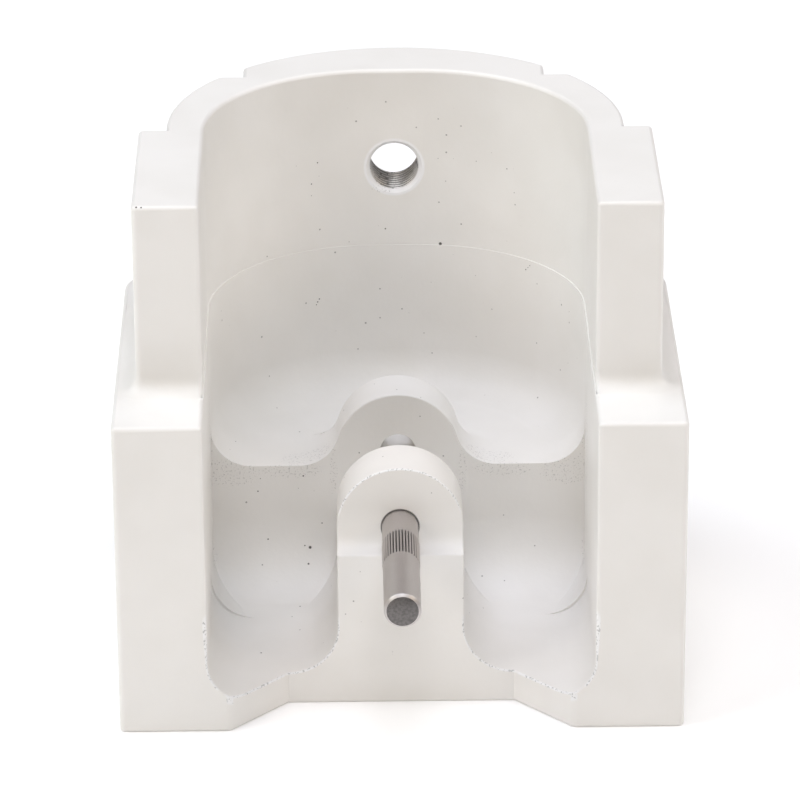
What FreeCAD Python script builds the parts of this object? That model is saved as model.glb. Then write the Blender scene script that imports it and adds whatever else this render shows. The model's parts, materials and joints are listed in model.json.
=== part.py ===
"""Wall bracket with a two-eared pivot, and the knurled pivot pin that is part-way into it.

Millimetres, +Z up.  The front faces -Y, X = 0 is the plane of symmetry, Z = 0 is the underside
and Y = 0 is the axis of the round back.  Depths in the sheet are measured from the front face.
Every size sits in the spreadsheet "sizes" and reaches the features through expressions.
"""
import FreeCAD, Part
import math
import os
import re
import Sketcher

os.makedirs("parts", exist_ok=True)
doc = FreeCAD.newDocument("pivot_bracket")

# ---------------------------------------------------------------- driving sizes
SIZES = [
    ("overall_high", 87.2, "underside to top face"),
    ("ledge_high", 54.8, "top of the wide lower part"),
    ("lower_half", 46.5, "half width of the lower part"),
    ("lower_deep", 68.0, "depth of the lower part"),
    ("lower_corner", 8.2, "rear corner radius of the lower part"),
    ("leg_inner", 28.2, "where the flat leg face ends"),
    ("inset_half", 18.7, "half width of the set-back centre face"),
    ("inset_deep", 10.0, "how far the centre face is set back"),
    ("upper_half", 42.9, "half width of the upper part"),
    ("upper_front", 14.5, "front face of the upper part"),
    ("upper_deep", 50.0, "rear face of the upper part's shoulders"),
    ("dome_centre", 52.0, "axis of the round back"),
    ("dome_radius", 38.3, "radius of the round back"),
    ("dome_key_half", 25.9, "half width left full depth on the round back"),
    ("dome_key_deep", 75.8, "flat seats either side of it"),
    ("cavity_half", 32.05, "half width of the upper cavity"),
    ("cavity_deep", 78.2, "back wall of the upper cavity"),
    ("cavity_corner", 28.4, "its corner radius in plan"),
    ("cavity_step", 0.18, "how much smaller it is below the ledge line"),
    ("shelf_high", 28.2, "floor of the cavity behind the ears"),
    ("shelf_front", 43.5, "front edge of that floor"),
    ("shelf_fillet", 7.0, "fillet round that floor"),
    ("trough_floor", 5.6, "floor of the two front troughs"),
    ("trough_corner", 6.7, "fillet to the side walls"),
    ("trough_corner_rear", 7.6, "the same, in the rear of the trough"),
    ("trough_rear_start", 31.0, "where the rear of the trough starts"),
    ("trough_boss_fillet", 8.3, "fillet to the boss"),
    ("trough_back_fillet", 13.0, "fillet to the trough's back wall"),
    ("boss_half", 10.45, "half width of the boss and radius of the ears"),
    ("pin_high", 30.8, "height of the pivot axis"),
    ("step_high", 27.1, "top of the boss's lower front face"),
    ("ear_front", 13.1, "front face of the front ear"),
    ("ear_thick", 9.8, "thickness of the front ear"),
    ("rear_ear_thick", 8.6, "thickness of the rear ear"),
    ("gap_floor", 19.4, "floor of the gap between the ears"),
    ("bore_wide", 6.18, "pivot bore"),
    ("thread_high", 69.3, "height of the threaded hole"),
    ("thread_bore", 8.5, "minor diameter of the threaded hole"),
    ("thread_mouth", 9.7, "mouth of the threaded hole"),
    ("mouth_deep", 0.6, "depth of that mouth's chamfer"),
    ("seat_wide", 18.0, "spot face behind the threaded hole"),
    ("seat_deep", 87.6, "level of that spot face"),
    ("ledge_fillet", 3.0, "fillet between the ledge and the upper part"),
    ("upright_round", 1.0, "rounding of the upright outer edges"),
    ("pin_wide", 6.0, "pivot pin"),
    ("pin_long", 40.0, "its length"),
    ("pin_chamfer", 0.45, "its end chamfers"),
    ("pin_front", -18.6, "where its front end stands"),
    ("knurl_wide", 6.15, "crest diameter of the knurl"),
    ("knurl_long", 8.6, "length of the knurl"),
    ("knurl_from", 16.0, "where the knurl starts from the front end"),
    ("knurl_cut", 0.3, "depth of the grooves"),
    ("knurl_count", 36, "number of grooves"),
]

sheet = doc.addObject("Spreadsheet::Sheet", "sizes")
for row, (alias, value, meaning) in enumerate(SIZES, start=1):
    sheet.set("A%d" % row, meaning)
    sheet.set("B%d" % row, str(value))
    sheet.setAlias("B%d" % row, alias)
doc.recompute()
value_of = {alias: float(value) for alias, value, _ in SIZES}


# ---------------------------------------------------------------- helpers
def number(expression):
    """The value of an expression of sheet names, used as a sketch's first guess."""
    plain = re.sub(r"sizes\.(\w+)", lambda m: "(%r)" % value_of[m.group(1)], expression)
    return FreeCAD.Units.Quantity(plain).Value


def sketch_on(body, name, role, level, corners):
    """A closed outline on one of the body's own planes, moved `level` along its normal.

    Each corner is (x, y) or (x, y, radius, side): the last two make the run to the next
    corner an arc of that radius that bulges to the left (+1) or to the right (-1).
    """
    plane = next(f for f in body.Origin.OriginFeatures if f.Role == role)
    sketch = body.newObject("Sketcher::SketchObject", name)
    sketch.AttachmentSupport = (plane, [""])
    sketch.MapMode = "FlatFace"
    sketch.setExpression("AttachmentOffset.Base.z", level)
    points = [FreeCAD.Vector(number(c[0]), number(c[1]), 0) for c in corners]
    starts = []
    for index, corner in enumerate(corners):
        here = points[index]
        there = points[(index + 1) % len(points)]
        if len(corner) == 2:
            sketch.addGeometry(Part.LineSegment(here, there), False)
        else:
            radius = number(corner[2])
            chord = there - here
            left = FreeCAD.Vector(-chord.y, chord.x, 0).normalize()
            sagitta = radius - math.sqrt(max(radius ** 2 - (chord.Length / 2) ** 2, 0.0))
            middle = (here + there) * 0.5 + left * sagitta * corner[3]
            sketch.addGeometry(Part.Arc(here, middle, there), False)
        starts.append(1 if (sketch.getPoint(index, 1) - here).Length < 1e-6 else 2)
    for index, corner in enumerate(corners):
        after = (index + 1) % len(corners)
        sketch.addConstraint(Sketcher.Constraint(
            "Coincident", index, 3 - starts[index], after, starts[after]))
    for index, corner in enumerate(corners):
        for kind, text, guess in (("DistanceX", corner[0], points[index].x),
                                  ("DistanceY", corner[1], points[index].y)):
            at = sketch.addConstraint(Sketcher.Constraint(kind, -1, 1, index, starts[index], guess))
            sketch.setExpression("Constraints[%d]" % at, text)
        if len(corner) > 2:
            at = sketch.addConstraint(Sketcher.Constraint("Radius", index, number(corner[2])))
            sketch.setExpression("Constraints[%d]" % at, corner[2])
    doc.recompute()
    return sketch


def circles_on(body, name, role, level, rings):
    """Circles given as (x, y, diameter) on one of the body's own planes."""
    plane = next(f for f in body.Origin.OriginFeatures if f.Role == role)
    sketch = body.newObject("Sketcher::SketchObject", name)
    sketch.AttachmentSupport = (plane, [""])
    sketch.MapMode = "FlatFace"
    sketch.setExpression("AttachmentOffset.Base.z", level)
    for index, (x, y, wide) in enumerate(rings):
        centre = FreeCAD.Vector(number(x), number(y), 0)
        sketch.addGeometry(Part.Circle(centre, FreeCAD.Vector(0, 0, 1), number(wide) / 2), False)
        for kind, text, guess in (("DistanceX", x, centre.x), ("DistanceY", y, centre.y)):
            at = sketch.addConstraint(Sketcher.Constraint(kind, -1, 1, index, 3, guess))
            sketch.setExpression("Constraints[%d]" % at, text)
        at = sketch.addConstraint(Sketcher.Constraint("Diameter", index, number(wide)))
        sketch.setExpression("Constraints[%d]" % at, wide)
    doc.recompute()
    return sketch


def swept(body, kind, name, sketch, length, backwards=False):
    """A pad or a pocket of one sketch; it has to change the body's volume."""
    before = body.Tip.Shape.Volume if body.Tip is not None else 0.0
    feature = body.newObject("PartDesign::" + kind, name)
    feature.Profile = sketch
    feature.Reversed = backwards
    feature.setExpression("Length", length)
    body.Tip = feature
    doc.recompute()
    change = feature.Shape.Volume - before
    assert feature.Shape.isValid(), name + " is not valid"
    assert (change > 0) == (kind == "Pad"), name + " changed the volume the wrong way"
    assert abs(change) > 0.1, name + " changed nothing"
    return feature


def rounded(body, name, radius, chosen):
    """Fillet the edges of the body's tip for which chosen(edge's box) is true."""
    base = body.Tip
    edges = ["Edge%d" % (i + 1) for i, e in enumerate(base.Shape.Edges) if chosen(e)]
    assert edges, name + " found no edge"
    feature = body.newObject("PartDesign::Fillet", name)
    feature.Refine = False
    feature.Base = (base, edges)
    feature.setExpression("Radius", radius)
    body.Tip = feature
    doc.recompute()
    assert feature.Shape.isValid() and feature.Shape.Volume > 0, name + " is not valid"
    return feature


def near(value, alias, slack=0.02):
    """True where the value is the sheet's, within the slack."""
    return abs(value - number(alias)) < slack


def is_level(edge, height):
    """True for an edge that lies flat at that height."""
    box = edge.BoundBox
    return near(box.ZMin, height) and near(box.ZMax, height)


# ---------------------------------------------------------------- bracket
bracket = doc.addObject("PartDesign::Body", "bracket")
bracket.setExpression("Placement.Base.y", "-sizes.dome_centre")

plan = sketch_on(bracket, "LowerPlan", "XY_Plane", "0", [
    ("-sizes.lower_half", "sizes.upright_round", "sizes.upright_round", -1),
    ("-sizes.lower_half + sizes.upright_round", "0"),
    ("-sizes.leg_inner", "0"),
    ("-sizes.inset_half", "sizes.inset_deep"),
    ("sizes.inset_half", "sizes.inset_deep"),
    ("sizes.leg_inner", "0"),
    ("sizes.lower_half - sizes.upright_round", "0", "sizes.upright_round", -1),
    ("sizes.lower_half", "sizes.upright_round"),
    ("sizes.lower_half", "sizes.lower_deep - sizes.lower_corner", "sizes.lower_corner", -1),
    ("sizes.lower_half - sizes.lower_corner", "sizes.lower_deep"),
    ("-sizes.lower_half + sizes.lower_corner", "sizes.lower_deep", "sizes.lower_corner", -1),
    ("-sizes.lower_half", "sizes.lower_deep - sizes.lower_corner"),
])
swept(bracket, "Pad", "LowerBlock", plan, "sizes.ledge_high")

plan = sketch_on(bracket, "UpperPlan", "XY_Plane", "0", [
    ("-sizes.upper_half", "sizes.upper_front + sizes.upright_round", "sizes.upright_round", -1),
    ("-sizes.upper_half + sizes.upright_round", "sizes.upper_front"),
    ("sizes.upper_half - sizes.upright_round", "sizes.upper_front", "sizes.upright_round", -1),
    ("sizes.upper_half", "sizes.upper_front + sizes.upright_round"),
    ("sizes.upper_half", "sizes.upper_deep - sizes.upright_round", "sizes.upright_round", -1),
    ("sizes.upper_half - sizes.upright_round", "sizes.upper_deep"),
    ("-sizes.upper_half + sizes.upright_round", "sizes.upper_deep", "sizes.upright_round", -1),
    ("-sizes.upper_half", "sizes.upper_deep - sizes.upright_round"),
])
swept(bracket, "Pad", "UpperBlock", plan, "sizes.overall_high")

plan = circles_on(bracket, "DomePlan", "XY_Plane", "0",
                  [("0", "sizes.dome_centre", "2 * sizes.dome_radius")])
swept(bracket, "Pad", "RoundBack", plan, "sizes.overall_high")

for side, sign in (("Left", "-"), ("Right", "")):
    plan = sketch_on(bracket, "Seat" + side, "XY_Plane", "0", [
        (sign + "sizes.dome_key_half", "sizes.dome_key_deep"),
        (sign + "sizes.dome_radius", "sizes.dome_key_deep"),
        (sign + "sizes.dome_radius", "sizes.dome_centre + sizes.dome_radius"),
        (sign + "sizes.dome_key_half", "sizes.dome_centre + sizes.dome_radius"),
    ])
    swept(bracket, "Pocket", "SeatCut" + side, plan, "sizes.overall_high", True)


def cavity_plan(name, level, smaller):
    """The cavity in plan: straight sides, round rear corners and a short straight back."""
    half = "sizes.cavity_half - " + smaller
    deep = "sizes.cavity_deep - " + smaller
    bend = "sizes.cavity_corner - " + smaller
    return sketch_on(bracket, name, "XY_Plane", level, [
        ("-(" + half + ")", "-1"),
        (half, "-1"),
        (half, deep + " - (" + bend + ")", bend, -1),
        (half + " - (" + bend + ")", deep),
        ("-(" + half + " - (" + bend + "))", deep, bend, -1),
        ("-(" + half + ")", deep + " - (" + bend + ")"),
    ])


plan = cavity_plan("CavityPlan", "sizes.ledge_high", "0")
swept(bracket, "Pocket", "Cavity", plan, "sizes.overall_high - sizes.ledge_high", True)
plan = cavity_plan("CavityLowPlan", "sizes.shelf_high", "sizes.cavity_step")
swept(bracket, "Pocket", "CavityLow", plan, "sizes.ledge_high - sizes.shelf_high", True)

wall = "sizes.cavity_half - sizes.cavity_step"


def trough_face(name, level, sign, corner):
    """One trough seen from the front: a fillet to the boss and one to the side wall."""
    mark = "-" if sign < 0 else ""
    return sketch_on(bracket, name, "XZ_Plane", level, [
        (mark + "sizes.boss_half", "sizes.shelf_high"),
        (mark + "sizes.boss_half", "sizes.trough_floor + sizes.trough_boss_fillet",
         "sizes.trough_boss_fillet", -sign),
        (mark + "(sizes.boss_half + sizes.trough_boss_fillet)", "sizes.trough_floor"),
        (mark + "(" + wall + " - " + corner + ")", "sizes.trough_floor", corner, -sign),
        (mark + "(" + wall + ")", "sizes.trough_floor + " + corner),
        (mark + "(" + wall + ")", "sizes.shelf_high"),
    ])


for side, sign in (("Left", -1), ("Right", 1)):
    face = trough_face("TroughFace" + side, "1", sign, "sizes.trough_corner")
    swept(bracket, "Pocket", "Trough" + side, face, "sizes.trough_rear_start + 1")
    face = trough_face("TroughRearFace" + side, "-sizes.trough_rear_start", sign,
                       "sizes.trough_corner_rear")
    swept(bracket, "Pocket", "TroughRear" + side, face, "sizes.shelf_front - sizes.trough_rear_start")

side = sketch_on(bracket, "TroughBackSide", "YZ_Plane", "-(" + wall + " + 1)", [
    ("sizes.shelf_front", "sizes.trough_floor + sizes.trough_back_fillet",
     "sizes.trough_back_fillet", 1),
    ("sizes.shelf_front - sizes.trough_back_fillet", "sizes.trough_floor"),
    ("sizes.shelf_front - sizes.trough_back_fillet", "sizes.trough_floor - 1"),
    ("sizes.shelf_front + 1", "sizes.trough_floor - 1"),
    ("sizes.shelf_front + 1", "sizes.trough_floor + sizes.trough_back_fillet"),
])
swept(bracket, "Pad", "TroughBack", side, "2 * (" + wall + " + 1)")

# The two ears are one arch with a gap; a cove carries the front ear's face out to the lower face.
face = sketch_on(bracket, "EarFace", "XZ_Plane", "-sizes.inset_deep", [
    ("-sizes.boss_half", "sizes.step_high - 1"),
    ("sizes.boss_half", "sizes.step_high - 1"),
    ("sizes.boss_half", "sizes.pin_high", "sizes.boss_half", -1),
    ("0", "sizes.pin_high + sizes.boss_half", "sizes.boss_half", -1),
    ("-sizes.boss_half", "sizes.pin_high"),
])
swept(bracket, "Pad", "Ears", face,
      "sizes.shelf_front + sizes.rear_ear_thick - sizes.inset_deep", True)

side = sketch_on(bracket, "CoveSide", "YZ_Plane", "-sizes.boss_half - 1", [
    ("sizes.inset_deep - 1", "sizes.step_high"),
    ("sizes.inset_deep", "sizes.step_high", "sizes.ear_front - sizes.inset_deep", -1),
    ("sizes.ear_front", "sizes.step_high + sizes.ear_front - sizes.inset_deep"),
    ("sizes.ear_front", "sizes.overall_high"),
    ("sizes.inset_deep - 1", "sizes.overall_high"),
])
swept(bracket, "Pocket", "Cove", side, "2 * sizes.boss_half + 2", True)

side = sketch_on(bracket, "GapSide", "YZ_Plane", "-sizes.boss_half - 1", [
    ("sizes.ear_front + sizes.ear_thick", "sizes.gap_floor"),
    ("sizes.shelf_front", "sizes.gap_floor"),
    ("sizes.shelf_front", "sizes.overall_high"),
    ("sizes.ear_front + sizes.ear_thick", "sizes.overall_high"),
])
swept(bracket, "Pocket", "Gap", side, "2 * sizes.boss_half + 2", True)

rounded(bracket, "ShelfFillet", "sizes.shelf_fillet",
        lambda e: is_level(e, "sizes.shelf_high") and e.BoundBox.YMax > number("sizes.shelf_front") + 1)

# Round holes: the pivot bore through both ears, and the threaded hole with its mouth and seat.
hole = circles_on(bracket, "BoreFace", "XZ_Plane", "0", [("0", "sizes.pin_high", "sizes.bore_wide")])
swept(bracket, "Pocket", "PivotBore", hole,
      "sizes.shelf_front + sizes.rear_ear_thick + sizes.shelf_fillet + 1")

hole = circles_on(bracket, "ThreadFace", "XZ_Plane", "-sizes.cavity_deep + 5",
                  [("0", "sizes.thread_high", "sizes.thread_bore")])
swept(bracket, "Pocket", "ThreadBore", hole, "sizes.seat_deep - sizes.cavity_deep + 10")

mouth = bracket.newObject("PartDesign::SubtractiveCone", "ThreadMouth")
along_y = FreeCAD.Rotation(FreeCAD.Vector(1, 0, 0), -90)
mouth.Placement = FreeCAD.Placement(FreeCAD.Vector(0, 0, 0), along_y)
mouth.setExpression("Placement.Base.y", "sizes.cavity_deep - sizes.mouth_deep")
mouth.setExpression("Placement.Base.z", "sizes.thread_high")
mouth.setExpression("Height", "2 * sizes.mouth_deep")
mouth.setExpression("Radius1", "sizes.thread_mouth - sizes.thread_bore / 2")
mouth.setExpression("Radius2", "sizes.thread_bore / 2")
bracket.Tip = mouth
doc.recompute()
assert mouth.Shape.isValid(), "ThreadMouth is not valid"

hole = circles_on(bracket, "SeatFace", "XZ_Plane", "-sizes.seat_deep",
                  [("0", "sizes.thread_high", "sizes.seat_wide")])
swept(bracket, "Pocket", "SpotFace", hole, "10")

rounded(bracket, "LedgeFillet", "sizes.ledge_fillet",
        lambda e: is_level(e, "sizes.ledge_high") and near(e.BoundBox.YMin, "sizes.upper_front")
        and near(e.BoundBox.YMax, "sizes.upper_front"))

# ---------------------------------------------------------------- pin
pin = doc.addObject("PartDesign::Body", "pin")
pin.setExpression("Placement.Base.y", "sizes.pin_front - sizes.dome_centre")
pin.setExpression("Placement.Base.z", "sizes.pin_high")

ring = circles_on(pin, "PinFace", "XZ_Plane", "0", [("0", "0", "sizes.pin_wide")])
shaft = swept(pin, "Pad", "PinShaft", ring, "sizes.pin_long", True)
ends = pin.newObject("PartDesign::Chamfer", "PinChamfers")
ends.Base = (shaft, ["Edge%d" % (i + 1) for i, e in enumerate(shaft.Shape.Edges)
                     if e.BoundBox.YLength < 0.01])
ends.setExpression("Size", "sizes.pin_chamfer")
pin.Tip = ends
doc.recompute()
assert ends.Shape.isValid(), "PinChamfers is not valid"

ring = circles_on(pin, "KnurlFace", "XZ_Plane", "-sizes.knurl_from", [("0", "0", "sizes.knurl_wide")])
swept(pin, "Pad", "KnurlBand", ring, "sizes.knurl_long", True)
groove = sketch_on(pin, "GrooveFace", "XZ_Plane", "-sizes.knurl_from + 0.1", [
    ("0", "sizes.knurl_wide / 2 - sizes.knurl_cut"),
    ("sizes.knurl_cut * 0.85", "sizes.knurl_wide / 2 + 0.05"),
    ("-sizes.knurl_cut * 0.85", "sizes.knurl_wide / 2 + 0.05"),
])
swept(pin, "Pocket", "Groove", groove, "sizes.knurl_long + 0.2")
grooves = pin.newObject("PartDesign::PolarPattern", "Grooves")
grooves.Originals = [doc.getObject("Groove")]
grooves.Axis = (next(f for f in pin.Origin.OriginFeatures if f.Role == "Y_Axis"), [""])
grooves.Angle = 360
grooves.setExpression("Occurrences", "sizes.knurl_count")
pin.Tip = grooves
doc.recompute()
assert grooves.Shape.isValid(), "Grooves is not valid"

# ---------------------------------------------------------------- checks and files
for item in doc.Objects:
    assert "Invalid" not in item.State and "Error" not in item.State, item.Name + " failed"
for piece in (bracket, pin):
    piece.Label = piece.Name
    shape = piece.Shape
    assert shape.isValid() and shape.Volume > 0, piece.Label + " is not valid"
    assert len(shape.Solids) == 1, piece.Label + " is not one solid"
    shape.exportStep("parts/%s.step" % piece.Label)
    print("%-8s %9.1f mm3  %s" % (piece.Label, shape.Volume, shape.BoundBox))
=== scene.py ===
# %% [markdown]
# # A painted pivot bracket and its knurled pin
# The real object is one block of metal, milled hollow from the front and the top, painted white with a
# satin powder coat, and a bare steel pin that stands part of the way into the front ear of its clevis.
# This lesson loads the engineering model, which never moves, and dresses it for a picture: the painted
# body gets its small roundings, the tapped hole its thread, and the pin its knurl.

# %% Load the frame
import json
import math

import bmesh
import bpy
import numpy as np
from mathutils import Matrix, Vector

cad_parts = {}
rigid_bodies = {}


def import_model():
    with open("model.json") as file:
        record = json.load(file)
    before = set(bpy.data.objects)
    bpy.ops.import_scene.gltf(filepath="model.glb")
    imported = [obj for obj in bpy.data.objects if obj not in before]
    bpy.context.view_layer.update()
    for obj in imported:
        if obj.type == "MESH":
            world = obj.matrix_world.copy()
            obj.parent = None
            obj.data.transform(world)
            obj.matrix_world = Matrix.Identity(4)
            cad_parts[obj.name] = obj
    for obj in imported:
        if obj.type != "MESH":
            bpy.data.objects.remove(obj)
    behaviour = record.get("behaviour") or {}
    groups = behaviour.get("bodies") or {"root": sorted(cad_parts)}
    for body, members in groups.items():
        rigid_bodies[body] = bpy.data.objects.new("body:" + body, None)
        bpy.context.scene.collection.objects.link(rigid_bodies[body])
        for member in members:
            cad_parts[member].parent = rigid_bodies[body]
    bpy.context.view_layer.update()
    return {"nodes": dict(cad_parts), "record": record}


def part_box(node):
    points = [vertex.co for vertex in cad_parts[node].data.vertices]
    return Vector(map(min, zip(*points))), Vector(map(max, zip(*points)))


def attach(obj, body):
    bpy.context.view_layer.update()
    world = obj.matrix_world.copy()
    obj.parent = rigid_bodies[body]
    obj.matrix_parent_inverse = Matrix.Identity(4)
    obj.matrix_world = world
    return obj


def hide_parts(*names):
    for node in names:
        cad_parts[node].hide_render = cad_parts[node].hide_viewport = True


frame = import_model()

MM = 0.001

# %% [markdown]
# Places on a milled part come from its own planes. The front of the block is the lowest Y of the body,
# and every depth below is counted from it in millimetres, as on a drawing.

# %% Datum planes
body_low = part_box("bracket")[0]
pin_low, pin_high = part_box("pin")
FRONT = body_low.y / MM
LEDGE_HIGH = 54.8
PIVOT_HIGH = (pin_low.z + pin_high.z) / 2 / MM
PIN_FRONT = pin_low.y / MM
PIN_LONG = (pin_high.y - pin_low.y) / MM
BOSS_HALF = 10.45
THREAD = next(m for m in frame["record"]["mounts"] if m["name"] == "rear_thread")
THREAD_HIGH = THREAD["pos_m"][2] / MM
BORE_RADIUS = THREAD["dims"]["r_mm"]
WALL_NEAR = 78.2
SEAT_FAR, SEAT_RADIUS = 87.6, 9.0
TROUGH_STEP = 31.0
SHELF_FRONT = 43.5
EAR_FRONT = 13.1
print("front plane %.1f, pivot %.2f high, pin from %.1f for %.1f" % (FRONT, PIVOT_HIGH, PIN_FRONT, PIN_LONG))

# %% [markdown]
# ## The painted body
# The engineering mesh is loose triangles with knife edges. A milled and painted block has none: the
# paint rounds every outer corner by a few tenths of a millimetre, and that thin rounding is what catches
# the light. So a copy of the mesh is welded, its flat faces are joined into single faces, and a Bevel
# modifier rounds the outer edges by a width that each edge carries as a weight.

# %% A copy of the body, welded
EDGE_ROUND = 0.8
SHARP_ANGLE = math.radians(24)


def on_step(edge):
    """True on the two thin steps, round the cavity and across each trough, which stay triangles."""
    ends = [v.co / MM for v in edge.verts]
    ledge = all(abs(p.z - LEDGE_HIGH) < 0.02 and abs(p.x) < 32.2 and p.y - FRONT > 14 for p in ends)
    return ledge or all(abs(p.y - FRONT - TROUGH_STEP) < 0.02 and p.z < 30 for p in ends)


def welded_copy(node, name):
    """The node's mesh with its doubles merged and flat neighbours joined into one face."""
    mesh = bpy.data.meshes.new(name)
    work = bmesh.new()
    work.from_mesh(frame["nodes"][node].data)
    bmesh.ops.remove_doubles(work, verts=work.verts, dist=2e-6)
    flat = [e for e in work.edges if not on_step(e)]
    bmesh.ops.dissolve_limit(work, angle_limit=math.radians(0.15), verts=[], edges=flat)
    work.to_mesh(mesh)
    work.free()
    return mesh


body_mesh = welded_copy("bracket", "painted_body")
print("welded body: %d vertices, %d faces" % (len(body_mesh.vertices), len(body_mesh.polygons)))

# %% [markdown]
# The hole in the back wall is a plain bore in the engineering model. Behind its painted mouth the wall is
# moved out to the root of the thread, because the thread itself is a surface of its own further down.

# %% Room for the thread
THREAD_ROOT = 4.86
MOUTH_DEEP = 0.6


def widen_bore(mesh):
    """The bore is cut once behind its mouth; each point deeper than the cut goes out to the root radius."""
    work = bmesh.new()
    work.from_mesh(mesh)

    def away(v):
        return math.hypot(v.co.x / MM, v.co.z / MM - THREAD_HIGH)

    wall = [f for f in work.faces if all(abs(away(v) - BORE_RADIUS) < 0.03 for v in f.verts)]
    around = list({e for f in wall for e in f.edges}) + list({v for f in wall for v in f.verts})
    cut = FRONT + WALL_NEAR + MOUTH_DEEP + 0.02
    bmesh.ops.bisect_plane(work, geom=wall + around, dist=1e-7, plane_co=(0, cut * MM, 0), plane_no=(0, 1, 0))
    moved = 0
    for v in work.verts:
        if abs(away(v) - BORE_RADIUS) < 0.03 and v.co.y / MM > cut - 0.005:
            grow = THREAD_ROOT / away(v)
            v.co.x *= grow
            v.co.z = (THREAD_HIGH + (v.co.z / MM - THREAD_HIGH) * grow) * MM
            moved += 1
    work.to_mesh(mesh)
    work.free()
    return moved


print("bore points moved out:", widen_bore(body_mesh))

# %% [markdown]
# Each outer edge gets a weight, from 0 to 1, of the full rounding. The ears and the shelf are crisper
# than the outer corners, and the tiny step round the cavity at ledge height keeps its sharp line.

# %% How round each edge is
def edge_weights(mesh):
    """Weight 0 on flat, hollow and listed edges; elsewhere by where the edge's middle lies."""
    work = bmesh.new()
    work.from_mesh(mesh)
    layer = work.edges.layers.float.new("bevel_weight_edge")
    # the inner edge of the ledge is cut where the upper block begins, so the rounding can stop there
    for edge in list(work.edges):
        a, b = (v.co / MM for v in edge.verts)
        if (abs(a.z - LEDGE_HIGH) < 0.02 and abs(b.z - LEDGE_HIGH) < 0.02 and abs(a.x - b.x) < 0.01
                and 31.5 < abs(a.x) < 31.95 and min(a.y, b.y) - FRONT < 1 and max(a.y, b.y) - FRONT > 15):
            start = edge.verts[0] if a.y < b.y else edge.verts[1]
            bmesh.utils.edge_split(edge, start, 11.0 / abs(a.y - b.y))
    count = 0
    for edge in work.edges:
        if len(edge.link_faces) != 2 or not edge.is_convex:
            continue
        angle = edge.calc_face_angle(0.0)
        if angle < SHARP_ANGLE:
            continue
        edge.smooth = False
        middle = (edge.verts[0].co + edge.verts[1].co) / 2 / MM
        x, y, z = abs(middle.x), middle.y - FRONT, middle.z
        from_pivot = math.hypot(x, z - PIVOT_HIGH)
        from_thread = math.hypot(x, z - THREAD_HIGH)
        tapped_hole = from_thread < THREAD_ROOT + 0.4 and y > WALL_NEAR - 3
        seat_rim = abs(from_thread - SEAT_RADIUS) < 0.3 and y > WALL_NEAR
        ledge_step = abs(z - LEDGE_HIGH) < 0.06 and y > 11.5 and x < 32.4
        shelf_edge = abs(y - SHELF_FRONT) < 0.2 and z < 36.5
        if tapped_hole or seat_rim or ledge_step or shelf_edge or from_pivot < 3.6:
            weight = 0.0
        elif x < BOSS_HALF + 0.1 and 9 < y < 53:  # the boss and its ears
            weight = 0.4 if y < 10.3 else 0.3
        elif abs(y - TROUGH_STEP) < 0.2 and z < 30:
            weight = 0.0
        elif x < 32.1 and y < 10.5 and 5 < z < 14:  # the troughs' front rim
            weight = 0.35
        elif z > 87:  # the top
            weight = 0.75
        elif z < 0.2:  # the underside
            weight = 0.6
        else:
            weight = 0.8
        edge[layer] = weight
        count += weight > 0
    for edge in work.edges:
        if len(edge.link_faces) == 2 and edge.calc_face_angle(0.0) >= SHARP_ANGLE:
            edge.smooth = False
    for face in work.faces:
        face.smooth = True
    work.to_mesh(mesh)
    work.free()
    return count


print("edges to round:", edge_weights(body_mesh))

# %% The body as a piece
body = bpy.data.objects.new("painted_body", body_mesh)
bpy.context.scene.collection.objects.link(body)
body_mesh.materials.clear()
rounding = body.modifiers.new("paint rounding", "BEVEL")
rounding.limit_method = "WEIGHT"
rounding.width = EDGE_ROUND * MM
rounding.segments = 3
rounding.use_clamp_overlap = False
rounding.harden_normals = False
shading = body.modifiers.new("flat faces stay flat", "WEIGHTED_NORMAL")
shading.keep_sharp = True
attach(body, "bracket")
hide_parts("bracket")


# %% [markdown]
# ## Grid surfaces
# The thread and the pin are turned shapes. Each is a grid of points, one parameter round the axis and
# one along it, worked out as whole arrays. Rings that close on themselves need no seam.

# %% A helper for turned grids
def turned_grid(name, rings, cap_ends):
    """rings is an array (n along, m round, 3) in mm; each ring closes, ends may close in a centre point.

    Faces run from ring i to ring i + 1 and from point j to j + 1, the last point joining the first.
    """
    n, m, _ = rings.shape
    points = rings.reshape(-1, 3)
    i, j = np.meshgrid(np.arange(n - 1), np.arange(m), indexing="ij")
    k = (j + 1) % m
    quads = np.stack([i * m + j, i * m + k, (i + 1) * m + k, (i + 1) * m + j], -1).reshape(-1, 4)
    faces = quads.tolist()
    if cap_ends:
        centres = np.stack([rings[0].mean(0), rings[-1].mean(0)])
        points = np.vstack([points, centres])
        near, far = n * m, n * m + 1
        turn = np.arange(m)
        first = np.stack([np.full(m, near), (turn + 1) % m, turn], -1)
        last = np.stack([np.full(m, far), (n - 1) * m + turn, (n - 1) * m + (turn + 1) % m], -1)
        faces += first.tolist() + last.tolist()
    else:
        j = np.arange(m)
        k = (j + 1) % m
        faces += np.stack([(n - 1) * m + j, (n - 1) * m + k, k, j], -1).tolist()
    mesh = bpy.data.meshes.new(name)
    mesh.from_pydata((points * MM).tolist(), [], faces)
    mesh.polygons.foreach_set("use_smooth", np.ones(len(mesh.polygons), bool))
    work = bmesh.new()
    work.from_mesh(mesh)
    bmesh.ops.recalc_face_normals(work, faces=work.faces)
    work.to_mesh(mesh)
    work.free()
    mesh.validate()
    piece = bpy.data.objects.new(name, mesh)
    bpy.context.scene.collection.objects.link(piece)
    print("%s: %d vertices, %d faces" % (name, len(mesh.vertices), len(mesh.polygons)))
    return piece


# %% [markdown]
# ## The tapped hole
# A tap leaves bare metal ridges that climb one pitch per turn. The ridge's height depends only on how far
# along the axis a point is, less its share of a turn, so the surface closes on itself without a seam.

# %% The thread
PITCH = 25.4 / 24


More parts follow.
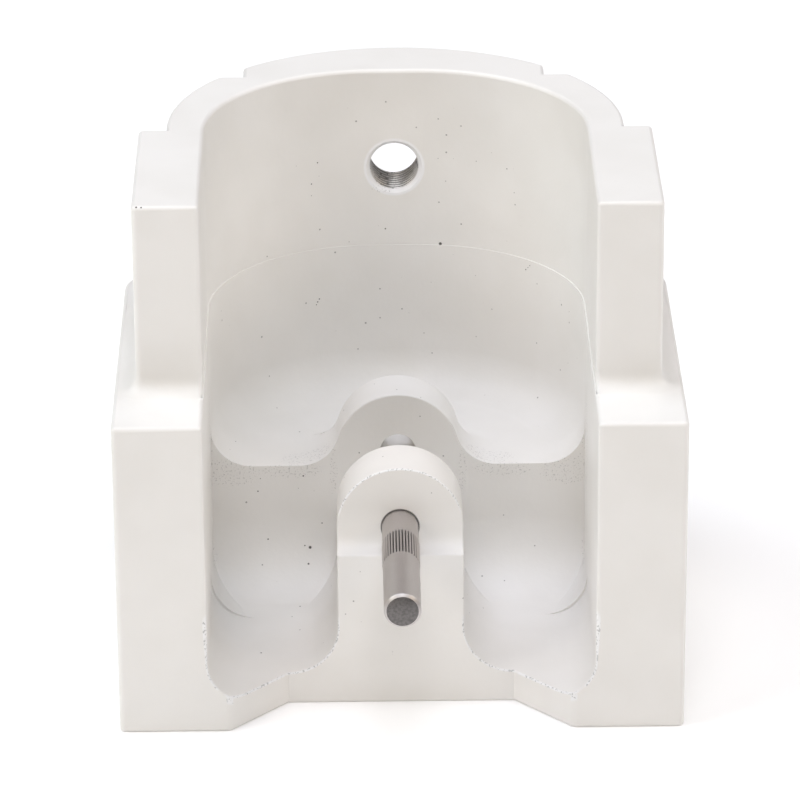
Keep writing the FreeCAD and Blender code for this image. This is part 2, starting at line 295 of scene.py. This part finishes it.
def thread_sleeve():
    """Inner radius = crest + depth * ramp(fraction of (y / pitch + turn)), at the root by the far end."""
    along = np.linspace(WALL_NEAR + MOUTH_DEEP + 0.03, SEAT_FAR - 0.02, 150)
    turn = np.linspace(0, 1, 96, endpoint=False)
    y, t = np.meshgrid(along, turn, indexing="ij")
    phase = np.abs(((y / PITCH + t) % 1.0) * 2 - 1)
    ramp = np.clip((phase - 0.18) / 0.62, 0, 1)
    radius = BORE_RADIUS + (THREAD_ROOT - BORE_RADIUS - 0.03) * (ramp * ramp * (3 - 2 * ramp))
    radius = np.maximum(radius, THREAD_ROOT - 0.03 - (SEAT_FAR - y))
    outer = THREAD_ROOT + 0.08
    rings = [np.stack([r * np.sin(2 * np.pi * t), FRONT + y, THREAD_HIGH + r * np.cos(2 * np.pi * t)], -1)
             for r in (radius, outer)]
    return np.concatenate([rings[0], rings[1][[-1, 0]]], 0)


thread = turned_grid("thread", thread_sleeve(), cap_ends=False)
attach(thread, "bracket")

# %% [markdown]
# ## The pivot pin
# The pin is ground bar with a chamfer at each end and a band of straight grooves pressed into its middle.
# The grooves push metal up between them, so the band stands a few hundredths proud of the plain ends.

# %% The pin
PIN_RADIUS = 3.0
KNURL_CREST = 3.075
KNURL_FROM, KNURL_LONG, GROOVES, GROOVE_DEEP = 16.0, 8.6, 36, 0.38


def pin_rings():
    """Radius along the axis: a rounded 45 degree chamfer, plain, then grooves as a cosine round the ring."""
    chamfer = 0.45
    start = np.array([0.0, 0.02, 0.06, chamfer - 0.06, chamfer - 0.02, chamfer + 0.03])
    near = PIN_RADIUS - np.array([chamfer + 0.03, chamfer, chamfer - 0.05, 0.05, 0.015, 0.0])
    band = KNURL_FROM + np.concatenate([[-0.25, 0.0, 0.15, 0.4], np.linspace(0.8, KNURL_LONG - 0.8, 9),
                                        KNURL_LONG - np.array([0.4, 0.15, 0.0, -0.25])])
    before = np.linspace(1.5, KNURL_FROM - 1.0, 8)
    after = np.linspace(KNURL_FROM + KNURL_LONG + 1.0, PIN_LONG - 1.5, 8)
    along = np.concatenate([start, before, band, after, (PIN_LONG - start)[::-1]])
    plain = np.concatenate([near, np.full(len(band) + 16, PIN_RADIUS), near[::-1]])
    inside = np.clip(np.minimum(along - KNURL_FROM, KNURL_FROM + KNURL_LONG - along) / 0.4, 0, 1)
    turn = np.linspace(0, 1, GROOVES * 12, endpoint=False)
    share, t = np.meshgrid(inside, turn, indexing="ij")
    inward = np.clip(1 - np.abs((GROOVES * t % 1.0) * 2 - 1) / 0.62, 0, 1)
    ridge = KNURL_CREST - GROOVE_DEEP * inward
    radius = plain[:, None] * (1 - share) + ridge * share
    y = np.repeat(along[:, None], len(turn), 1)
    across, up = radius * np.sin(2 * np.pi * t), radius * np.cos(2 * np.pi * t)
    return np.stack([across, PIN_FRONT + y, PIVOT_HIGH + up], -1)


pin = turned_grid("pivot_pin", pin_rings(), cap_ends=True)
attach(pin, "pin")
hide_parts("pin")


# %% [markdown]
# ## Finishes
# Every finish is worked out from the piece's own coordinates, scaled to millimetres so that the numbers
# are real sizes: the coat's orange peel is about a millimetre across, the steel's grind marks far finer.

# %% Helpers for node trees
class Tree:
    """A short way to add nodes to one material and to join them.

    mm is the place on the piece, here the same with depth counted from the front, fold here with x unsigned.
    """

    def __init__(self, name):
        self.material = bpy.data.materials.new(name)
        self.material.use_nodes = True
        self.nodes = self.material.node_tree.nodes
        self.links = self.material.node_tree.links
        self.shader = self.nodes["Principled BSDF"]
        where = self.nodes.new("ShaderNodeTexCoord").outputs["Object"]
        scale = self.nodes.new("ShaderNodeVectorMath")
        scale.operation = "SCALE"
        scale.inputs["Scale"].default_value = 1 / MM
        self.links.new(where, scale.inputs[0])
        self.mm = scale.outputs[0]
        split = self.nodes.new("ShaderNodeSeparateXYZ")
        self.links.new(self.mm, split.inputs[0])
        x, y, z = split.outputs
        depth = self.math("SUBTRACT", y, FRONT)
        self.here = self.add("CombineXYZ", i0=x, i1=depth, i2=z)
        self.fold = self.add("CombineXYZ", i0=self.math("ABSOLUTE", x), i1=depth, i2=z)

    def add(self, kind, out=0, settings=None, **inputs):
        """One new node; an input is named by its socket, or i0, i1 for its number."""
        node = self.nodes.new("ShaderNode" + kind)
        for key, value in (settings or {}).items():
            setattr(node, key, value)
        for key, value in inputs.items():
            socket = node.inputs[int(key[1:])] if key[0] == "i" and key[1:].isdigit() else node.inputs[key]
            if isinstance(value, bpy.types.NodeSocket):
                self.links.new(value, socket)
            else:
                socket.default_value = value
        return node.outputs[out]

    def math(self, operation, *values):
        numbered = {"i%d" % n: v for n, v in enumerate(values)}
        return self.add("Math", settings={"operation": operation}, **numbered)

    def ramp(self, value, low, high, start=0.0, end=1.0):
        """value carried from low..high to start..end with a smooth foot and head."""
        node = self.nodes.new("ShaderNodeMapRange")
        node.interpolation_type = "SMOOTHSTEP"
        for key, number in (("From Min", low), ("From Max", high), ("To Min", start), ("To Max", end)):
            node.inputs[key].default_value = number
        self.links.new(value, node.inputs["Value"])
        return node.outputs["Result"]

    def noise(self, size, detail=2.0, rough=0.5, place=None):
        """Noise whose lumps are about this many millimetres across."""
        return self.add("TexNoise", Vector=place or self.mm, Scale=1 / size, Detail=detail, Roughness=rough)

    def vector(self, operation, *values, out=0):
        return self.add("VectorMath", out=out, settings={"operation": operation},
                        **{"i%d" % n: v for n, v in enumerate(values)})

    def zone(self, centre, half, foot=0.5, place=None):
        """1 in an ellipsoid with these half sizes, fading to 0 from the share foot of them to its skin."""
        off = self.vector("SUBTRACT", place or self.fold, centre)
        return self.ramp(self.vector("LENGTH", self.vector("DIVIDE", off, half), out=1), foot, 1.0, 1.0, 0.0)

    def most(self, masks):
        """The strongest of several masks at each place."""
        top = masks[0]
        for mask in masks[1:]:
            top = self.math("MAXIMUM", top, mask)
        return top

    def mix(self, share, first, second):
        """The first colour where share is 0, the second where it is 1."""
        node = self.nodes.new("ShaderNodeMix")
        node.data_type = "RGBA"
        for socket, value in ((node.inputs[0], share), (node.inputs[6], first), (node.inputs[7], second)):
            if isinstance(value, bpy.types.NodeSocket):
                self.links.new(value, socket)
            else:
                socket.default_value = value
        return node.outputs[2]

    def finish(self, colour, roughness, height=None, depth=0.01):
        """Colour, roughness and a bump this many millimetres high, set on the shader."""
        for value, name in ((colour, "Base Color"), (roughness, "Roughness")):
            if isinstance(value, bpy.types.NodeSocket):
                self.links.new(value, self.shader.inputs[name])
            else:
                self.shader.inputs[name].default_value = value
        if height is not None:
            bump = self.nodes.new("ShaderNodeBump")
            bump.inputs["Distance"].default_value = depth * MM
            self.links.new(height, bump.inputs["Height"])
            self.links.new(bump.outputs[0], self.shader.inputs["Normal"])
        return self.material


def from_axis(tree, high):
    """Distance from the axis that runs front to back at this height."""
    off = tree.vector("MULTIPLY", tree.vector("SUBTRACT", tree.here, (0, 0, high)), (1, 0, 1))
    return tree.vector("LENGTH", off, out=1)


# %% [markdown]
# ## White powder coat
# Powder is sprayed on dry and baked. It flows almost flat, but dust leaves pits, and in hollow places
# where the spray is thin it stays rough and grainy. Over sharp edges it pulls back, so bare metal shows
# there in short dashes. Pits are small spheres of colour, set where the surface passes through them.

# %% Where the coat is marked
PITS = [
    # x, depth behind the front, height, radius
    (-15.2, 42.4, 13.3, 0.32), (-15.5, 40.9, 10.9, 0.22), (-23.4, 17.6, 5.6, 0.20),
    (-24.0, 43.5, 23.5, 0.16), (-22.4, 42.9, 14.7, 0.16), (-16.2, 43.5, 26.3, 0.18),
    (-13.1, 43.4, 17.4, 0.15), (-21.6, 71.6, 29.3, 0.15), (-16.1, 42.5, 13.6, 0.15),
    (-1.6, 78.2, 57.8, 0.17), (-14.4, 76.1, 67.1, 0.15), (-13.3, 76.5, 70.9, 0.15),
    (-26.2, 66.8, 28.4, 0.15), (-27.9, 52.3, 28.9, 0.15), (-13.3, 76.3, 45.4, 0.16),
    (-13.6, 76.2, 44.9, 0.15), (-13.8, 76.1, 44.4, 0.13), (22.7, 70.6, 52.9, 0.16),
    (23.1, 70.3, 53.4, 0.13), (23.4, 70.0, 53.9, 0.13), (8.0, 77.9, 55.0, 0.36),
    (-42.0, 14.8, 87.1, 0.22), (-41.2, 14.7, 87.1, 0.20), (-33.7, 14.5, 87.1, 0.20),
    (41.2, 14.2, 87.1, 0.22),
]
GRAINY = [
    # centre and half sizes of a grainy place: x either side, depth, height
    ((16.0, 46.5, 29.5), (8.5, 5.0, 4.0)),
    ((29.0, 43.6, 27.0), (9.0, 1.2, 4.5)),
    ((18.0, 43.6, 27.4), (9.0, 1.0, 2.6)),
    ((32.0, 40.0, 34.0), (1.4, 10.0, 16.0)),
    ((31.9, 40.5, 14.0), (1.6, 4.0, 8.0)),
    ((11.0, 43.6, 27.0), (1.2, 1.6, 8.0)),
]
WORN_AND_LIT_EDGES = [
    # the same, for the edges where the coat has pulled back; these edges are also painted lighter as a
    # highlight
    ((14.5, 10.1, 10.0), (6.5, 1.8, 8.5)),
    ((24.0, 4.5, 6.0), (8.0, 7.5, 2.2)),
    ((31.9, 0.5, 12.0), (2.2, 2.0, 10.0)),
    ((0.0, 13.1, 37.0), (12.0, 1.5, 10.0)),
]
print("%d pits, %d grainy places, %d bare edges" % (len(PITS), len(GRAINY), len(WORN_AND_LIT_EDGES)))


# %% White powder coat
COAT_THIN, COAT_FULL = (0.80, 0.784, 0.757, 1), (0.83, 0.815, 0.792, 1)
COAT_MOUTH_HIGHLIGHT, COAT_EDGE_HIGHLIGHT, BARE_SPOT_AND_SHADOW = (0.88, 0.88, 0.89, 1), (0.86, 0.86, 0.86, 1), (0.10, 0.095, 0.09, 1)
SHADE_WIDE, PEEL_WIDE, GRAIN_WIDE, DASH_WIDE, DUST_CELL = 14.0, 1.1, 0.34, 0.36, 1.3
PEEL_DEEP = 0.03


def powder_coat(name, on_edges):
    """Tone from broad noise, then a painted highlight round the mouth of the hole, then every kind of mark,
    with the painted shadow at the pin, as one dark mask; on edges also a painted highlight.
    """
    coat = Tree(name)
    shade = coat.ramp(coat.noise(SHADE_WIDE, 2.0), 0.3, 0.7)
    colour = coat.mix(shade, COAT_THIN, COAT_FULL)
    # painted highlight: the ring round the mouth of the tapped hole is painted lighter and bluer than the
    # coat
    mouth = coat.zone((0, WALL_NEAR + 0.2, THREAD_HIGH), (5.5, 2.4, 5.5), 0.93)
    colour = coat.mix(mouth, colour, COAT_MOUTH_HIGHLIGHT)
    # dust: one point in each cell, and a share of the points is a pit
    cells = coat.nodes.new("ShaderNodeTexVoronoi")
    coat.links.new(coat.mm, cells.inputs["Vector"])
    cells.inputs["Scale"].default_value = 1 / DUST_CELL
    red = coat.add("SeparateColor", i0=cells.outputs["Color"])
    reach = coat.math("SUBTRACT", coat.ramp(red, 0.72, 1.0, 0.0, 0.15), cells.outputs["Distance"])
    inside = coat.zone((0, 45, 45), (32.5, 44.5, 60), 0.98)
    dust = coat.math("MULTIPLY", coat.ramp(reach, 0.0, 0.04), inside)
    pits = [coat.zone(pit[:3], (pit[3],) * 3, 0.55, coat.here) for pit in PITS]
    grains = coat.noise(GRAIN_WIDE, 2.0, 0.6)
    grainy = coat.most([coat.zone(*place) for place in GRAINY])
    swarf = coat.zone((-2.2, WALL_NEAR + 0.2, THREAD_HIGH - 3.9), (3.6, 1.2, 2.3), 0.4, coat.here)
    crumbs = coat.ramp(coat.math("MULTIPLY", grains, coat.most([grainy, swarf])), 0.56, 0.66)
    marks = coat.most(pits + [coat.math("MULTIPLY", dust, 0.6), coat.math("MULTIPLY", crumbs, 0.3)])
    rough = coat.math("MULTIPLY", coat.math("MULTIPLY", grains, grainy), 2.5)
    height = coat.math("ADD", coat.noise(PEEL_WIDE, 3.0, 0.55), rough)
    if on_edges:
        # painted highlight: these edges are painted lighter, with dark dashes of bare metal where the coat
        # has pulled back
        wear_and_highlight = coat.most([coat.zone(*place, foot=0.85) for place in WORN_AND_LIT_EDGES])
        dashes = coat.ramp(coat.math("MULTIPLY", coat.noise(DASH_WIDE, 1.0), wear_and_highlight), 0.55, 0.63)
        colour = coat.mix(wear_and_highlight, colour, COAT_EDGE_HIGHLIGHT)
        marks = coat.most([marks, coat.math("MULTIPLY", dashes, 0.4)])
    # a thin painted shadow where the pin goes into the ear, joined to the marks
    gap = coat.ramp(from_axis(coat, PIVOT_HIGH), PIN_RADIUS + 0.12, PIN_RADIUS + 0.34, 0.85, 0.0)
    ear_front = coat.zone((0, EAR_FRONT, PIVOT_HIGH), (4.5, 1.0, 4.5), 0.9)
    marks = coat.math("MAXIMUM", marks, coat.math("MULTIPLY", gap, ear_front))
    # the marks and the painted shadow at the pin take one dark colour
    colour = coat.mix(marks, colour, BARE_SPOT_AND_SHADOW)
    coat.shader.inputs["Specular IOR Level"].default_value = 0.45
    return coat.finish(colour, 0.42, height, PEEL_DEEP)


body_mesh.materials.append(powder_coat("satin white coat", False))
body_mesh.materials.append(powder_coat("edge coat, wear and painted highlight", True))
rounding.material = 1
print("coats:", [m.name for m in body_mesh.materials])


# %% [markdown]
# ## Bare steel
# Ground steel is never quite bright: fine marks run along it and blur what it mirrors. The knurl's grooves
# and the thread's root are painted dark as shade, and the sawn end is darker and rougher than the ground
# side.

# %% Bare steel
def metal(name, tone, rough, dark):
    """dark(tree) gives the share of shadow and dirt at a place."""
    steel = Tree(name)
    steel.shader.inputs["Metallic"].default_value = 1.0
    marks = steel.noise(0.25, 3.0, 0.6, steel.vector("MULTIPLY", steel.mm, (1.0, 0.12, 1.0)))
    colour = steel.mix(marks, tuple(0.8 * c for c in tone) + (1,), tuple(tone) + (1,))
    colour = steel.mix(dark(steel), colour, tuple(0.12 * c for c in tone) + (1,))
    return steel.finish(colour, steel.ramp(marks, 0.2, 0.8, rough, rough + 0.12), marks, 0.004)


def pin_dark(steel):
    """Painted shade in the grooves of the knurl, and dark blotches on the sawn front end."""
    place = steel.nodes.new("ShaderNodeSeparateXYZ")
    steel.links.new(steel.mm, place.inputs[0])
    along = steel.math("SUBTRACT", place.outputs[1], PIN_FRONT)
    bottom, crest = KNURL_CREST - GROOVE_DEEP, KNURL_CREST - 0.04
    # painted shade: darker towards the bottom of each groove
    groove = steel.ramp(from_axis(steel, PIVOT_HIGH), bottom, crest, 0.95, 0.0)
    middle = steel.math("ABSOLUTE", steel.math("SUBTRACT", along, KNURL_FROM + KNURL_LONG / 2))
    groove = steel.math("MULTIPLY", groove, steel.math("LESS_THAN", middle, KNURL_LONG / 2 + 0.1))
    blotch = steel.ramp(steel.noise(0.5, 3.0, 0.65), 0.35, 0.7, 0.74, 0.86)
    sawn = steel.math("MULTIPLY", steel.math("LESS_THAN", along, 0.03), blotch)
    return steel.math("MAXIMUM", groove, sawn)


def thread_dark(steel):
    """Painted shade at the thread's root, with dirt between its flanks."""
    # painted shade: darker from the crest towards the root
    root = steel.ramp(from_axis(steel, THREAD_HIGH), BORE_RADIUS + 0.05, BORE_RADIUS + 0.3, 0.0, 1.0)
    return steel.math("MAXIMUM", root, steel.ramp(steel.noise(0.6, 2.0), 0.58, 0.7, 0.0, 0.7))


pin.data.materials.append(metal("ground steel", (0.60, 0.565, 0.55), 0.42, pin_dark))
thread.data.materials.append(metal("tapped metal", (0.92, 0.90, 0.89), 0.35, thread_dark))
print("metals:", [piece.data.materials[0].name for piece in (pin, thread)])


# %% [markdown]
# ## Stage
# A plain pale floor that runs out of the picture, soft light, and a long lens.

# %% Floor
FLOOR_GLOW = 0.12
FLOOR_REACH = 3.0


def floor_plane():
    """One square, far wider than the view, with a faint glow that keeps its shadows soft."""
    mesh = bpy.data.meshes.new("floor")
    corners = [(x * FLOOR_REACH, y * FLOOR_REACH, 0) for x, y in ((-1, -1), (1, -1), (1, 1), (-1, 1))]
    mesh.from_pydata(corners, [], [(0, 1, 2, 3)])
    floor = bpy.data.objects.new("floor", mesh)
    bpy.context.scene.collection.objects.link(floor)
    pale = Tree("pale floor")
    pale.shader.inputs["Specular IOR Level"].default_value = 0.0
    pale.shader.inputs["Emission Color"].default_value = (1, 1, 1, 1)
    pale.shader.inputs["Emission Strength"].default_value = FLOOR_GLOW
    mesh.materials.append(pale.finish((0.9, 0.9, 0.9, 1), 0.9))


floor_plane()
print("floor glow:", FLOOR_GLOW)


# %% [markdown]
# ## Light
# Studio light is many soft boxes. Round area lamps on a wide sphere do the same: each row says where the
# lamp stands and how strong it is. The world itself gives no light, so that each lamp can be judged alone.

# %% Lights
LAMP_FAR, LAMP_WIDE = 1.5, 0.7
LAMP_TARGET = Vector((0, 0, 0.04))
LAMPS = [
    # azimuth, elevation, watts, colour
    (0, 90, 3.8, (0.81, 0.83, 1.00)),
    (0, 65, 4.9, (0.94, 0.96, 1.00)),
    (0, 38, 2.8, (1.00, 0.96, 0.92)),
    (-30, 14, 1.1, (1.00, 0.80, 0.55)),
    (-65, 38, 5.9, (1.00, 0.96, 0.89)),
    (65, 38, 4.5, (1.00, 0.85, 0.68)),
    (-90, 65, 4.7, (0.82, 0.87, 1.00)),
    (90, 65, 1.2, (0.66, 0.86, 1.00)),
    (-100, 38, 4.4, (0.81, 0.96, 1.00)),
    (100, 38, 6.0, (0.96, 0.97, 1.00)),
    (-100, 14, 1.3, (1.00, 0.72, 0.45)),
    (180, 65, 2.2, (1.00, 0.84, 0.74)),
]


def lamp(azimuth, elevation, watts, colour):
    """A soft round lamp on a sphere round the object; azimuth 0 is in front, 90 at its right."""
    data = bpy.data.lights.new("lamp", "AREA")
    data.shape = "DISK"
    data.size = LAMP_WIDE
    data.energy = watts
    data.color = colour
    item = bpy.data.objects.new("lamp", data)
    a, e = math.radians(azimuth), math.radians(elevation)
    way = Vector((math.sin(a) * math.cos(e), -math.cos(a) * math.cos(e), math.sin(e)))
    place = LAMP_TARGET + LAMP_FAR * way
    item.location = place
    item.rotation_mode = "QUATERNION"
    item.rotation_quaternion = (LAMP_TARGET - place).to_track_quat("-Z", "Y")
    bpy.context.scene.collection.objects.link(item)


for row in LAMPS:
    lamp(*row)

world = bpy.data.worlds.new("room")
world.use_nodes = True
world.node_tree.nodes["Background"].inputs[0].default_value = (1, 1, 1, 1)
world.node_tree.nodes["Background"].inputs[1].default_value = 0.0
bpy.context.scene.world = world
bpy.context.scene.view_settings.view_transform = "Standard"
print("%d lamps" % len(LAMPS))

# %% [markdown]
# ## Camera
# A long lens from well in front and above keeps upright edges nearly parallel. Its matrix is built from
# three directions, because pitch, turn and roll are then plain numbers.

# %% Camera
CAMERA_PLACE = (-0.00707, -0.7633, 0.3713)
PITCH_DOWN, YAW, ROLL = (math.radians(v) for v in (23.6795, 0.5681, -0.3739))
flat = math.cos(PITCH_DOWN)
forward = Vector((math.sin(YAW) * flat, math.cos(YAW) * flat, -math.sin(PITCH_DOWN)))
level = Vector((math.cos(YAW), -math.sin(YAW), 0))
upward = level.cross(forward)
right = level * math.cos(ROLL) + upward * math.sin(ROLL)
upward = upward * math.cos(ROLL) - level * math.sin(ROLL)
camera_data = bpy.data.cameras.new("camera")
camera_data.lens = 218.47
camera_data.sensor_width = 36.0
camera_data.clip_start = 0.05
camera_data.clip_end = 20.0
camera = bpy.data.objects.new("camera", camera_data)
camera.matrix_world = Matrix((
    (right.x, upward.x, -forward.x, CAMERA_PLACE[0]),
    (right.y, upward.y, -forward.y, CAMERA_PLACE[1]),
    (right.z, upward.z, -forward.z, CAMERA_PLACE[2]),
    (0, 0, 0, 1)))
bpy.context.scene.collection.objects.link(camera)
bpy.context.scene.camera = camera
print("lens: %.1f mm" % camera_data.lens)
